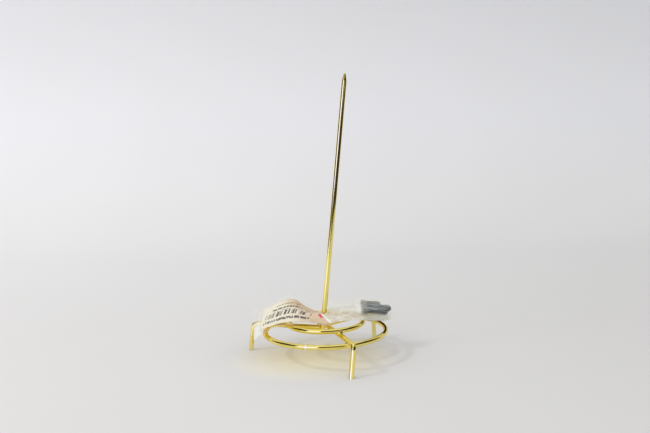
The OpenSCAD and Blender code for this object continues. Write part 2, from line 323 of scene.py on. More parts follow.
def new_material(name):
    """An empty material and its tree."""
    material = bpy.data.materials.new(name)
    return material, Tree(material)


def scaled(tone, amount):
    """A colour made brighter or darker."""
    return [amount * part for part in tone]


def plate(names, material):
    """Puts one material on every slot of some of the frame's solids."""
    for name in names:
        solid = frame["nodes"][name]
        if not solid.material_slots:
            solid.data.materials.append(material)
        for slot in solid.material_slots:
            slot.link = "OBJECT"
            slot.material = material


def new_object(name, data):
    """An object in the scene."""
    obj = bpy.data.objects.new(name, data)
    bpy.context.scene.collection.objects.link(obj)
    return obj


def new_mesh(name, points, faces, material, smooth=True):
    """An object of points and faces with one material."""
    mesh = bpy.data.meshes.new(name)
    mesh.from_pydata(points, [], faces)
    mesh.validate()
    mesh.materials.append(material)
    for polygon in mesh.polygons:
        polygon.use_smooth = smooth
    return new_object(name, mesh)


def new_piece(name, points, faces, material, body):
    """A smooth mesh piece that rides on a body."""
    piece = new_mesh(name, points, faces, material)
    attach(piece, body)
    return piece


# painted reflection: middle of the deeper yellow on the wires under the packet, which stands in for the wires
# mirroring one another in its shade, and how far from there its colour is full and none
REFLECTION_SPOT = (-0.020, 0.002, 0.014)
REFLECTION_REACH = (0.017, 0.023)
# painted reflection on the left and rear feet: heights at which their paler colour is full and none, and how
# far back it is none and full
FOOT_LIGHT_REACH = (0.010, 0.014)
FOOT_LIGHT_BACK = (-0.010, 0.010)


def brass_material(name, brass, weld=False, seam=0.0):
    """Bright plating with slow colour changes, specks, a fine grain and a wavy surface; paler on a seam,
    partly its weld metal and partly a painted highlight.
    """
    material, tree = new_material(name)
    place = tree.place()
    _, away, up = tree.split(place)
    base, speck_share, wave_strength = (brass.weld_rough, 0.75, 0.6) if weld else (brass.rough, 0.4, 0.06)
    slow = tree.noise(place, scale=90.0, detail=3.0)
    fine = tree.noise(place, scale=2600.0, detail=4.0, roughness=0.6)
    specks = tree.ramp(tree.noise(place, scale=1500.0, detail=6.0, roughness=0.7), low=0.68, high=0.76)
    plating = tree.blend(tree.ramp(slow, low=0.35, high=0.68), brass.bright, brass.deep)
    # painted reflection under the packet
    far = tree.measure("LENGTH", tree.vector("SUBTRACT", place, REFLECTION_SPOT))
    painted_reflection_mask = tree.ramp(far, *REFLECTION_REACH, start=brass.painted_reflection_share, end=0.0)
    plating = tree.blend(painted_reflection_mask, plating, brass.sheltered)
    # painted reflection on the left and rear feet
    painted_foot_light = tree.ramp(up, *FOOT_LIGHT_REACH, start=brass.foot_painted_light_share, end=0.0)
    plating = tree.blend(tree.product(painted_foot_light, tree.ramp(away, *FOOT_LIGHT_BACK)), plating, brass.foot)
    # paler seam: partly weld metal, partly a painted highlight
    plating = tree.blend(seam, plating, brass.seam)
    plating = tree.blend(tree.product(specks, speck_share), plating, brass.tarnish)
    rough = tree.ramp(fine, *NOISE_SPAN, start=base - 0.02, end=base + 0.03)
    rough_specks = tree.product(specks, 0.22)
    drawn_out = tree.vector("MULTIPLY", place, (1.0, 1.0, 0.18))
    waves = tree.bump(tree.noise(drawn_out, scale=260.0), distance=brass.wave, strength=wave_strength)
    grain = tree.bump(fine, distance=0.006 * MM, strength=0.5, under=waves)
    tree.surface({
        "Base Color": plating, "Metallic": 1.0, "Roughness": tree.math("ADD", rough, rough_specks),
        "Normal": grain, "Specular Tint": brass.edge, "Coat Weight": brass.lacquer,
        "Coat Roughness": 0.06, "Coat IOR": 1.5, "Coat Normal": waves})
    return material


# how much more the film hides where it turns away, and along its creases, edges and folds
FACING_HIDES = 0.05
MARKS_HIDE = (("crease", 0.07), ("edge", 0.06), ("fold", 0.55))


def film_material(film):
    """Clear film with a shine, murky where it is gathered and darkened there with painted shade, and whiter
    along creases, edges and folds.
    """
    material, tree = new_material("clear_film")
    place = tree.place()
    murk = tree.mark("murk")
    clouds = tree.noise(place, scale=170.0, detail=4.0, roughness=0.6)
    clouds = tree.ramp(clouds, *NOISE_SPAN, start=0.6, end=1.4)
    facing = tree.add("ShaderNodeLayerWeight", {"Blend": 0.3}).outputs["Facing"]
    hide = tree.product(clouds, tree.math("ADD", murk, film.haze))
    hide = tree.math("ADD", hide, tree.product(facing, FACING_HIDES))
    white = 0.0
    for name, amount in MARKS_HIDE:
        mark = tree.mark(name)
        hide = tree.math("ADD", hide, tree.product(mark, amount), clamp=True)
        white = tree.math("MAXIMUM", white, mark)
    murky = tree.product(murk, tree.math("SUBTRACT", 1.0, white))
    # the gathered film's tint is partly painted shade
    tint = tree.blend(murky, film.tint, film.murk_and_shade_tint)
    tint = tree.blend(tree.mark("shade"), tint, film.shade_tint)
    ripple = tree.noise(place, scale=420.0, detail=3.0, roughness=0.55)
    ripple = tree.bump(ripple, distance=0.05 * MM, strength=0.5)
    skin = tree.add("ShaderNodeBsdfPrincipled", {
        "Base Color": tint, "Roughness": 0.4, "Alpha": hide, "Normal": ripple})
    shine = tree.add("ShaderNodeBsdfGlossy", {
        "Color": film.shine_tint, "Roughness": film.rough, "Normal": ripple})
    mirror = tree.add("ShaderNodeFresnel", {"IOR": 1.4, "Normal": ripple}).outputs[0]
    mirror = tree.product(mirror, film.shine)
    tree.finish(tree.add("ShaderNodeMixShader", {0: mirror, 1: skin.outputs[0], 2: shine.outputs[0]}))
    return material


# The label's print, in millimetres from its front left corner, which spells and encodes nothing
PRINT_LEAN = 0.18
# bars: low and high edge, left and right end, a bar's width, the share that is printed, and their shift
BARS = (8.4, 13.0, 0.2, 29.0, 0.40, 0.56, 3.1)
# the bars stand in groups: distance from one to the next, width of one, and their shift
BAR_GROUPS = (4.9, 3.9, 3.0)
# broken lines: low and high edge, left and right end, a dash's width, and the share that is printed
PRINT_ROWS = ((3.6, 5.0, 0.4, 28.6, 0.62, 0.62),
              (4.8, 6.2, 1.0, 28.8, 0.74, 0.60),
              (13.5, 14.1, 4.0, 27.0, 0.40, 0.35),
              (15.4, 16.9, 3.0, 28.0, 0.50, 0.60),
              (18.9, 19.7, 5.0, 20.0, 0.46, 0.66))
# how ragged those lines are: height, and noise scale in cells per millimetre
RAGGED, RAGGED_SCALE = 0.9, 1.3
# fields of colour: where each starts and ends across and up the label, and its strength at those places; the
# two tan fields are painted warm shade
BLUSH_FIELD = ((21.0, 35.0, 0.0, 0.6), (0.0, 14.0, 0.5, 1.0))
TAN_BACK = ((16.0, 24.0, 0.0, 1.0), (11.0, 20.0, 0.0, 1.0))
TAN_FRONT = ((27.0, 36.0, 0.0, 0.8), (4.0, 10.0, 1.0, 0.3))
# how far the paper's mottle shifts those fields
FIELD_SHIFT = 9.0
# red patch: how far it slants, and its edges and their softness across and up the label
PATCH_SLANT, PATCH_ACROSS, PATCH_UP = 0.55, (39.4, 41.0, 0.3), (5.0, 8.6, 0.4)


def label_print(tree, spot):
    """Where the label is printed: plain bars and broken lines."""
    across, up, _ = tree.split(spot)
    leaning = tree.math("SUBTRACT", across, tree.product(up, PRINT_LEAN))
    ragged = tree.math("ADD", up, tree.product(tree.noise(spot, RAGGED_SCALE), RAGGED))
    distance, group_width, group_shift = BAR_GROUPS
    group = tree.math("MODULO", tree.math("ADD", leaning, group_shift), distance)
    group = tree.math("LESS_THAN", group, group_width)
    low, high, left, right, width, keep, shift = BARS
    bars = tree.product(tree.dashes(leaning, width, shift, keep), group, tree.band(leaning, left, right))
    printed = tree.product(bars, tree.band(up, low, high))
    for low, high, left, right, width, keep in PRINT_ROWS:
        line = tree.band(ragged, low + RAGGED / 2, high + RAGGED / 2)
        line = tree.product(line, tree.band(leaning, left, right), tree.dashes(leaning, width, low, keep))
        printed = tree.math("MAXIMUM", printed, line)
    return printed


def label_material(label):
    """Cream paper with plain bars, broken lines, a blush field, painted warm shade at its right corners and
    one red patch.
    """
    material, tree = new_material("label_paper")
    place = tree.place()
    spot = tree.add("ShaderNodeUVMap", uv_map="print").outputs[0]
    across, up, _ = tree.split(spot)
    fibres = tree.noise(place, scale=2200.0, detail=5.0, roughness=0.65)
    mottle = tree.noise(place, scale=260.0, detail=3.0)
    stained = tree.ramp(mottle, *NOISE_SPAN, end=0.35)
    paper = tree.blend(stained, label.paper, scaled(label.paper, 0.93))
    cloudy = tree.math("ADD", across, tree.product(mottle, FIELD_SHIFT))
    blush, back, front = (tree.product(tree.ramp(cloudy, *along), tree.ramp(up, *over))
                          for along, over in (BLUSH_FIELD, TAN_BACK, TAN_FRONT))
    paper = tree.blend(blush, paper, label.blush)
    # painted warm shade
    painted_shade_corners = tree.product(tree.math("MAXIMUM", back, front), label.shade_tan_share)
    paper = tree.blend(painted_shade_corners, paper, label.tan)
    slanted = tree.math("ADD", across, tree.product(up, PATCH_SLANT))
    patch = tree.product(tree.band(slanted, *PATCH_ACROSS), tree.band(up, *PATCH_UP))
    paper = tree.blend(patch, paper, label.red)
    ink_left = tree.ramp(fibres, low=0.3, high=0.6, start=0.72, end=0.96)
    paper = tree.blend(tree.product(label_print(tree, spot), ink_left), paper, label.ink)
    rough = tree.ramp(fibres, *NOISE_SPAN, start=0.42, end=0.58)
    grain = tree.bump(fibres, distance=0.01 * MM, strength=0.5)
    tree.surface({"Base Color": paper, "Roughness": rough, "Normal": grain})
    return material


def vinyl_material(name, cap, dust):
    """Soft grey vinyl with a dusty bloom and pale lines along it; the lines are painted highlights, and the
    back cap's bloom is partly a painted highlight.
    """
    material, tree = new_material("vinyl_" + name)
    place = tree.place()
    bloom = tree.ramp(tree.noise(place, scale=420.0, detail=5.0, roughness=0.6), low=0.45, high=0.75)
    # most of the way along the cap is taken out of the place, which draws the noise into lines
    run = tree.measure("DOT_PRODUCT", place, CAP_WAY)
    along = tree.add("ShaderNodeVectorMath", {0: CAP_WAY, "Scale": run}, operation="SCALE").outputs[0]
    drawn_out = tree.vector("SUBTRACT", place, tree.vector("MULTIPLY", along, (0.94, 0.94, 0.94)))
    lines = tree.noise(drawn_out, scale=1300.0, detail=3.0)
    dusty = tree.ramp(bloom, low=0.0, high=1.0, start=dust - 0.1, end=dust + 0.25)
    skin = tree.blend(dusty, cap.vinyl, cap.bloom)
    # painted highlights: pale lines along the cap
    skin = tree.blend(tree.ramp(lines, low=0.51, high=0.60, end=cap.lines), skin, cap.bloom)
    rough = tree.ramp(bloom, low=0.0, high=1.0, start=cap.rough - 0.08, end=cap.rough + 0.15)
    grooves = tree.bump(lines, distance=0.04 * MM, strength=0.5)
    tree.surface({"Base Color": skin, "Roughness": rough, "Normal": grooves})
    return material


# painted light: middle of the warm glow painted on the floor for the brass's reflected light, which also
# lightens the shade under the object, one over its half sizes, and where it is full and none
GLOW_SPOT = (-0.006, -0.003, 0.0)
GLOW_SHAPE = (1.0 / 0.052, 1.0 / 0.045, 0.0)
GLOW_REACH = (0.2, 1.0)


def floor_material(stage):
    """Pale paper with painted light: lighter at the left and far away and darker at the backdrop's top, with
    the brass's painted glow round the object.
    """
    material, tree = new_material("floor_paper")
    place = tree.place()
    across, away, up = tree.split(place)
    # painted light and shade across and up the paper
    wall = tree.blend(tree.ramp(across, low=-0.45, high=0.45), stage.wall_left, stage.wall)
    wall = tree.blend(tree.ramp(up, low=0.15, high=0.35, end=0.25), wall, stage.wall_top)
    floor = tree.blend(tree.ramp(across, low=-0.30, high=0.30), stage.floor_left, stage.floor)
    floor = tree.blend(tree.ramp(away, low=0.10, high=0.40, end=0.22), floor, stage.floor_far)
    paper = tree.blend(tree.ramp(up, low=0.0, high=0.12), floor, wall)
    # painted light: the brass's glow, which also lightens the shade under the object
    near = tree.vector("MULTIPLY", tree.vector("SUBTRACT", place, GLOW_SPOT), GLOW_SHAPE)
    glow = tree.ramp(tree.measure("LENGTH", near), *GLOW_REACH, start=stage.painted_glow_share, end=0.0)
    paper = tree.blend(glow, paper, stage.glow)
    clouds = tree.ramp(tree.noise(place, scale=9.0, detail=3.0), *NOISE_SPAN, end=stage.cloud_share)
    paper = tree.blend(clouds, paper, stage.cloud)
    grain = tree.bump(tree.noise(place, scale=1200.0, detail=3.0), distance=0.05 * MM, strength=0.2)
    tree.surface({"Base Color": paper, "Roughness": 0.75, "Specular IOR Level": 0.0, "Normal": grain})
    return material


def flag_material(stage):
    """Dark cloth of the cards that give the metal its edges."""
    material, tree = new_material("flag_cloth")
    cloth = tree.blend(tree.noise(tree.place(), scale=14.0), stage.flag, scaled(stage.flag, 1.6))
    tree.surface({"Base Color": cloth, "Roughness": 1.0, "Specular IOR Level": 0.0})
    return material


def lit_material(name, tone, light, scale, dim):
    """A lit card with slow changes from its colour to a dimmer one."""
    material, tree = new_material(name)
    cloth = tree.blend(tree.noise(tree.place(), scale), tone, scaled(tone, dim))
    tree.finish(tree.add("ShaderNodeEmission", {"Color": cloth, "Strength": light}))
    return material


def drift(along):
    """How far the packet's right half swings to the back."""
    return PACKET_DRIFT * along * along / (along + DRIFT_START) if along > 0.0 else 0.0


def on_packet(along, across):
    """Place in the row frame of a point given along and across the packet."""
    turn = Matrix.Rotation(PACKET_TURN, 2)
    flat = turn @ Vector((along, across + drift(along)))
    return Vector((HUB.x + flat.x, HUB.y + flat.y, 0.0))


def search_tree(mesh):
    """A tree in which rays find a mesh's faces."""
    return BVHTree.FromPolygons([v.co for v in mesh.vertices], [p.vertices for p in mesh.polygons])


def fade(value, none, full):
    """A smooth step of a length from 0 at one place to 1 at another, both given in millimetres."""
    none, full = none * MM, full * MM
    u = min(1.0, max(0.0, (value - none) / (full - none)))
    return u * u * (3.0 - 2.0 * u)


def ridge(beside, width):
    """1 on a line and 0 well beside it."""
    return math.exp(-(beside / width) ** 2)


# heights from which rays look down on the packet and up at it, and how far inside its edges they stay
RAY_TOP, RAY_BOTTOM, RAY_INSET = 0.3, -0.1, 0.02 * MM
# steps in which film is looked for beside the hole
SEARCH_STEPS, SEARCH_STEP = 12, 0.5 * MM
# a crease's width and reach in millimetres, its share of the greatest height, and its sharp line's width
CREASE_WIDTH, CREASE_REACH, CREASE_SHARE = (1.5, 5.0), (6.0, 20.0), (0.15, 1.0)
CREASE_LINE = 0.35 * MM
# folds that spread from the hole: how far they reach, their number and turn, and their height in millimetres
HOLE_REACH, HOLE_WAVES, HOLE_TURN, HOLE_HEIGHT = 7.0 * MM, 2.5, 0.6, 0.6
# fine crumples: height, size and the layer of noise they are cut from
FINE_HEIGHT, FINE_SIZE, FINE_LAYER = 0.12 * MM, 2.2 * MM, 3.0
# the lower wall's share of the creases and of the crumples, and how much farther back it is gathered
LOWER_CREASE, LOWER_FINE, LOWER_BACK = 0.2, 0.3, 8.0 * MM
# where the hanging corner's bends start and how steeply they fall, and how round they are
CORNER_BENDS, BEND_ROUND = ((-27.0 * MM, 0.15), (-38.0 * MM, 0.6)), 2.0 * MM
# how far the front edge hangs before the caps
EDGE_HANG = 1.7 * MM
# ends and width of the white fold from the spike to the front edge
FOLD_START, FOLD_END, FOLD_WIDTH = Vector((-3.0, 1.0)) * MM, Vector((3.6, -11.0)) * MM, 1.1 * MM
# middle of the caps' mouths, and how murky the film is there
MOUTHS_MID, MOUTHS_MURK = (25.0 * MM, 3.0 * MM), 0.3
# the end seals' width and whiteness, the widths of the white edges, and how much flatter the film is there
SEAL_WIDTH, SEAL_WHITE = 2.6 * MM, 0.3
END_LINE, SIDE_LINE, EDGE_FLAT = 0.5 * MM, 0.45 * MM, 0.6
# rounds in which the film over the caps is drawn taut
TAUT_ROUNDS = 700


class FilmShape:
    """Heights of one wall of the packet, read from its solid, with seeded creases on it."""

    def __init__(self, node_name, upper, film):
        mesh = frame["nodes"][node_name].data
        self.upper = upper
        self.bvh = search_tree(mesh)
        back = Matrix.Rotation(-PACKET_TURN, 2)
        flat = [back @ Vector((v.co.x - HUB.x, v.co.y - HUB.y)) for v in mesh.vertices]
        widths = [p.y - drift(p.x) for p in flat]
        self.left, self.right = min(p.x for p in flat), max(p.x for p in flat)
        self.front, self.rear = min(widths), max(widths)
        chance = random.Random(film.seed + int(upper))
        self.creases = []
        for _ in range(film.creases):
            middle = Vector((chance.uniform(self.left, self.right), chance.uniform(self.front, self.rear)))
            angle = chance.uniform(0.0, math.pi)
            width = chance.uniform(*CREASE_WIDTH) * MM
            height = film.crease * chance.uniform(*CREASE_SHARE)
            reach = chance.uniform(*CREASE_REACH) * MM
            self.creases.append((middle, Vector((math.cos(angle), math.sin(angle))), width, height, reach))
        self.most = film.crease if upper else LOWER_CREASE * film.crease
        # the lower wall is gathered and shaded farther back, under the caps
        self.under = 0.0 if upper else LOWER_BACK

    def skin(self, along, across):
        """Height of the middle of the drawn film, or None over the hole."""
        place = on_packet(min(max(along, self.left + RAY_INSET), self.right - RAY_INSET),
                          min(max(across, self.front + RAY_INSET), self.rear - RAY_INSET))
        place.z = RAY_TOP if self.upper else RAY_BOTTOM
        hit = self.bvh.ray_cast(place, DOWN if self.upper else UP)[0]
        if hit is None:
            return None
        return hit.z + (-FILM_DRAWN if self.upper else FILM_DRAWN) / 2

    def near_skin(self, along, across):
        """Height of the film here, or over the hole that of the film beside it."""
        for k in range(SEARCH_STEPS):
            for side in (k, -k):
                low = self.skin(along, across + SEARCH_STEP * side)
                if low is not None:
                    return low
        raise RuntimeError("no film beside the hole")

    def crumple(self, along, across):
        """Height that the creases add here, and how sharp the film is folded."""
        spot = Vector((along, across))
        height, sharp = 0.0, 0.0
        for middle, way, width, top, reach in self.creases:
            run = spot - middle
            beside = abs(run.x * way.y - run.y * way.x)
            left_over = max(0.0, 1.0 - abs(run.dot(way)) / reach)
            if beside < width and left_over:
                height += top * left_over * (1.0 - beside / width)
                sharp = max(sharp, left_over * ridge(beside, CREASE_LINE))
        waves = abs(math.sin(HOLE_WAVES * math.atan2(across, along) + HOLE_TURN))
        folds = math.exp(-spot.length / HOLE_REACH) * waves * HOLE_HEIGHT * MM
        fine = FINE_HEIGHT * noise.noise(Vector((along, across, FINE_LAYER + self.upper)) / FINE_SIZE)
        return min(self.most, height + folds) + (fine if self.upper else LOWER_FINE * fine), sharp

    def sag(self, along, across):
        """How far the packet's front left corner hangs down, and its front edge before the caps."""
        corner = 0.0
        for start, slope in CORNER_BENDS:
            past = max(0.0, start - along)
            corner += slope * past * past / (past + BEND_ROUND) * fade(across, none=8.0, full=-2.0)
        before_caps = fade(along, none=25.0, full=29.0) * fade(along, none=42.0, full=35.0)
        return corner + EDGE_HANG * before_caps * fade(across, none=-8.0, full=-15.0)

    def milk(self, along, across):
        """1 at the packet's front left corner, where both walls cling, and 0 elsewhere."""
        return fade(along, none=-36.5, full=-39.0) * fade(across, none=9.0, full=2.0)

    def fold(self, along, across):
        """1 along the white fold that runs from the spike to the front edge, and 0 beside it."""
        way = (FOLD_END - FOLD_START).normalized()
        run = Vector((along, across)) - FOLD_START
        beside = abs(run.x * way.y - run.y * way.x)
        inside = 0.0 <= run.dot(way) <= (FOLD_END - FOLD_START).length
        return ridge(beside, FOLD_WIDTH) if inside else 0.0

    def murk(self, along, across):
        """1 where the packet's right half is gathered in front of the caps, and 0 elsewhere."""
        near_spike = fade(across, none=12.0, full=0.0) * fade(along, none=28.0, full=20.0)
        before_caps = fade(across - self.under, none=-7.0, full=-10.0) * fade(along, none=44.5, full=37.0)
        mouths = MOUTHS_MURK * fade(abs(along - MOUTHS_MID[0]), none=3.6, full=1.2)
        mouths *= fade(abs(across - MOUTHS_MID[1]), none=13.0, full=8.0)
        return fade(along, none=-4.0, full=3.0) * max(near_spike, before_caps, mouths)

    def shade(self, along, across):
        """1 in the film before and under the caps, and 0 elsewhere."""
        ends = fade(along, none=18.0, full=30.0) * fade(along, none=44.5, full=37.0)
        return ends * fade(across - self.under, none=-5.0, full=-8.0)

    def edge(self, along, across):
        """1 at the packet's edges, less in its end seals, and 0 inside."""
        end = min(along - self.left, self.right - along)
        side = min(across - self.front, self.rear - across)
        seal = SEAL_WHITE if end < SEAL_WIDTH else 0.0
        return max(seal, ridge(end, END_LINE), ridge(side, SIDE_LINE))


def draw_over_caps(heights, plan, columns, rows, film):
    """The upper wall's heights with its right half drawn taut over the caps."""
    lower = FilmShape("bag_lower_film", False, film)
    caps = [search_tree(bpy.data.objects["vinyl_" + name].data) for name in CAP_NODES]
    least, most = [], []
    for (along, across), height in zip(plan, heights):
        if along < film.taut_start:
            least.append(height)
            most.append(height)
            continue
        place = on_packet(along, across)
        place.z = RAY_TOP
        hits = [cap.ray_cast(place, DOWN)[0] for cap in caps]
        tops = [hit.z for hit in hits if hit is not None]
        floor = min(height, lower.near_skin(along, across) + film.taut_gap)
        least.append(max([floor] + [top + film.taut_gap for top in tops]))
        most.append(height + film.slack)
    grid = (columns + 1, rows + 1)
    least, most = numpy.array(least).reshape(grid), numpy.array(most).reshape(grid)
    taut = numpy.maximum(numpy.array(heights).reshape(grid), least)
    for _ in range(TAUT_ROUNDS):
        mean = (taut[:-2, 1:-1] + taut[2:, 1:-1] + taut[1:-1, :-2] + taut[1:-1, 2:]) / 4.0
        taut[1:-1, 1:-1] = numpy.clip(mean, least[1:-1, 1:-1], most[1:-1, 1:-1])
    return taut.reshape(-1).tolist()


def clear_of_spike(place, film):
    """True outside the ragged tear round the leaning spike."""
    start, way = Vector(SPIKE_MOUNT["pos_m"]), Vector(SPIKE_MOUNT["axis"])
    run = place - start
    side = run - way * run.dot(way)
    angle = math.atan2(side.y, side.x)
    ragged = 1.0
    for height, waves, turn in TEAR_WAVES:
        ragged += height * math.sin(waves * angle + turn)
    return side.length > film.hole * ragged


def torn_grid(points, columns, rows, film):
    """Numbers of the points that a torn grid of points keeps, and its faces on the kept points."""
    faces = []
    for i in range(columns):
        for j in range(rows):
            corner = i * (rows + 1) + j
            face = (corner, corner + rows + 1, corner + rows + 2, corner + 1)
            if all(clear_of_spike(points[k], film) for k in face):
                faces.append(face)
    used = sorted({k for face in faces for k in face})
    new_number = {k: n for n, k in enumerate(used)}
    return used, [[new_number[k] for k in face] for face in faces]


def film_piece(name, upper, film, material):
    """Makes one wall of the packet as a fine crumpled sheet with a torn hole, and returns its shape."""
    node_name = name + "_film"
    shape = FilmShape(node_name, upper, film)
    columns = round((shape.right - shape.left) / film.step)
    rows = round((shape.rear - shape.front) / film.step)
    plan = [(shape.left + (shape.right - shape.left) * i / columns,
             shape.front + (shape.rear - shape.front) * j / rows)
            for i in range(columns + 1) for j in range(rows + 1)]
    heights = [shape.near_skin(along, across) for along, across in plan]
    if upper:
        heights = draw_over_caps(heights, plan, columns, rows, film)
    points, marks = [], []
    for (along, across), low in zip(plan, heights):
        rise, sharp = shape.crumple(along, across)
        edge = shape.edge(along, across)
        fold = shape.fold(along, across) if upper else 0.0
        white = max(fold, film.milk * shape.milk(along, across)) if upper else 0.0
        place = on_packet(along, across)
        place.z = low + rise * (1.0 - EDGE_FLAT * edge) + film.crease * fold - shape.sag(along, across)
        points.append(place)
        marks.append({"crease": sharp, "edge": edge, "murk": film.murk * shape.murk(along, across),
                      "fold": white, "shade": shape.shade(along, across)})
    used, faces = torn_grid(points, columns, rows, film)
    piece = new_piece(name, [points[k] for k in used], faces, material, "packet")
    for mark in marks[0]:
        attribute = piece.data.attributes.new(mark, "FLOAT", "POINT")
        attribute.data.foreach_set("value", [marks[k][mark] for k in used])
    piece.visible_shadow = False
    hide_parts(node_name)
    return shape


class BILLSPIKE_OT_wire(bpy.types.Operator):
    """Plates the spike, the legs and the two rings."""

    bl_idname = "billspike.wire"
    bl_label = "Plate the wire"

    def execute(self, context):
        plate(WIRE_NODES, brass_material("brass_plate", context.scene.billspike_brass))
        return {"FINISHED"}


class BILLSPIKE_OT_welds(bpy.types.Operator):
    """Plates the weld beads, duller than the wire, and the paler seams of the rings, whose paleness is partly
    a painted highlight.
    """

    bl_idname = "billspike.welds"
    bl_label = "Plate the welds"

    def execute(self, context):
        brass = context.scene.billspike_brass
        plate(WELD_NODES, brass_material("brass_weld", brass, weld=True))
        plate(SEAM_NODES, brass_material("brass_seam", brass, weld=True, seam=brass.seam_and_highlight_share))
        return {"FINISHED"}


class BILLSPIKE_OT_packet(bpy.types.Operator):
    """Makes the packet's two walls and the label that is stuck on the upper one."""

    bl_idname = "billspike.packet"
    bl_label = "Make the packet"

    def execute(self, context):
        film, label = context.scene.billspike_film, context.scene.billspike_label
        material = film_material(film)
        film_piece("bag_lower", False, film, material)
        shape = film_piece("bag_upper", True, film, material)
        self.make_label(shape, film, label)
        return {"FINISHED"}

    def make_label(self, shape, film, label):
        """A sheet of paper that follows the wall under it."""
        columns, rows = LABEL_CELLS
        front, back = LABEL_END
        turn = Matrix.Rotation(LABEL_TURN, 2)
        reach = [Vector((a, b)) * LABEL_CLEAR for a in (-1, 0, 1) for b in (-1, 0, 1)]
        points, spots = [], []
        for i in range(columns + 1):
            for j in range(rows + 1):
                long = LABEL_SIZE[0] + max(back, front + 2.0 * (back - front) * j / rows)
                flat = Vector((long * i / columns - LABEL_SIZE[0] / 2, LABEL_SIZE[1] * (j / rows - 0.5)))
                spot = Vector(LABEL_MID) + turn @ flat
                tops = []
                for step in reach:
                    near = spot + step
                    tops.append(shape.near_skin(near.x, near.y) + shape.crumple(near.x, near.y)[0])
                place = on_packet(spot.x, spot.y)
                place.z = max(tops) + label.lift - shape.sag(spot.x, spot.y)
                points.append(place)
                spots.append((long * i / columns / MM, LABEL_SIZE[1] * j / rows / MM))
        used, faces = torn_grid(points, columns, rows, film)
        piece = new_piece("label_sheet", [points[k] for k in used], faces, label_material(label), "packet")
        layer = piece.data.uv_layers.new(name="print")
        for loop in piece.data.loops:
            layer.data[loop.index].uv = spots[used[loop.vertex_index]]
        thick = piece.modifiers.new("paper", "SOLIDIFY")
        thick.thickness = label.thickness
        thick.offset = 1.0
        piece.visible_shadow = False
        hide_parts("label")


# points round a cap, and the steps of its straight part and of its dome in degrees
CAP_AROUND, CAP_STEPS, DOME_STEP = 32, 10, 10
# depth at a cap's mouth within which its rim is found, and the share of a radius left at a closed end
RIM_DEPTH, CLOSED = 0.4 * MM, 0.02
# dents: depth as a share of the radius, and how fast they change from cap to cap, along a cap and round it
DENT, DENT_BETWEEN, DENT_ALONG, DENT_ROUND = 0.035, 4.0, 200.0, 0.8


class BILLSPIKE_OT_caps(bpy.types.Operator):
    """Makes the three soft vinyl caps, open at their left ends and domed at their right ends."""

    bl_idname = "billspike.caps"
    bl_label = "Make the caps"

    def execute(self, context):
        caps = context.scene.billspike_caps
        looks = ((caps.dust, 0.0), (caps.dust, 0.0), (caps.back_bloom_and_highlight, caps.lag))
        for place_in_row, (name, (dust, short)) in enumerate(zip(CAP_NODES, looks)):
            self.make_cap(name, place_in_row, short, caps, vinyl_material(name, caps, dust))
        return {"FINISHED"}

    def make_cap(self, name, place_in_row, short, caps, material):
        """One cap along its solid's own axis, its mouth lifted by the film that it lies in."""
        spots = [v.co for v in frame["nodes"][name].data.vertices]
        way = Vector(CAP_WAY).normalized()
        first = min(spot.dot(way) for spot in spots)
        rim = [spot for spot in spots if spot.dot(way) < first + RIM_DEPTH]
        mouth = sum(rim, Vector()) / len(rim)
        tip = max(spots, key=lambda spot: spot.dot(way))
        radius = max((spot - mouth).length for spot in rim)
        mouth = mouth + way * caps.shift + Vector((0.0, 0.0, caps.tilt))
        tip = tip + way * (caps.shift - short)
        axis = (tip - mouth).normalized()
        side = axis.cross(UP).normalized()
        up = side.cross(axis)
        outline = self.cap_outline((tip - mouth).length, radius, caps.wall)
        points, faces = [], []
        for run, far in outline:
            for k in range(CAP_AROUND):
                angle = 2.0 * math.pi * k / CAP_AROUND
                flat = side * math.cos(angle) + up * math.sin(angle)
                spot = Vector((DENT_BETWEEN * place_in_row, DENT_ALONG * run, 0.0)) + DENT_ROUND * flat
                points.append(mouth + axis * run + flat * far * (1.0 + DENT * noise.noise(spot)))
        for ring in range(len(outline) - 1):
            for k in range(CAP_AROUND):
                a, b = ring * CAP_AROUND + k, ring * CAP_AROUND + (k + 1) % CAP_AROUND
                faces.append((a, b, b + CAP_AROUND, a + CAP_AROUND))
        faces.append(tuple(range(CAP_AROUND))[::-1])
        faces.append(tuple(range((len(outline) - 1) * CAP_AROUND, len(outline) * CAP_AROUND)))
        piece = new_piece("vinyl_" + name, points, faces, material, "packet")
        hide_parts(name)

    @staticmethod
    def cap_outline(total, radius, wall):
        """Distances along a cap and from its axis, from the bore's end round the lip to the dome's tip."""
        bore, straight = radius - wall, total - radius
        bore_end, lip_end = 0.35 * total, 1.2 * MM
        outline = [(bore_end, CLOSED * bore), (bore_end, bore), (0.1 * total, bore), (0.0, bore),
                   (-0.1 * MM, radius - wall / 2), (0.0, radius), (0.5 * MM, 1.03 * radius),
                   (lip_end, radius)]
        outline += [(lip_end + (straight - lip_end) * k / CAP_STEPS, radius) for k in range(1, CAP_STEPS + 1)]
        for degrees in range(DOME_STEP, 91, DOME_STEP):
            angle = math.radians(degrees)
            outline.append((straight + radius * math.sin(angle), radius * max(CLOSED, math.cos(angle))))
        return outline


# the floor's half width, its rows before the bend, the bend's radius and steps, and the backdrop's height
FLOOR_HALF, FLOOR_ROWS = 2.5, (-2.5, -0.5, 0.36)
BEND_RADIUS, BEND_STEPS, WALL_HEIGHT = 0.30, 16, 2.2
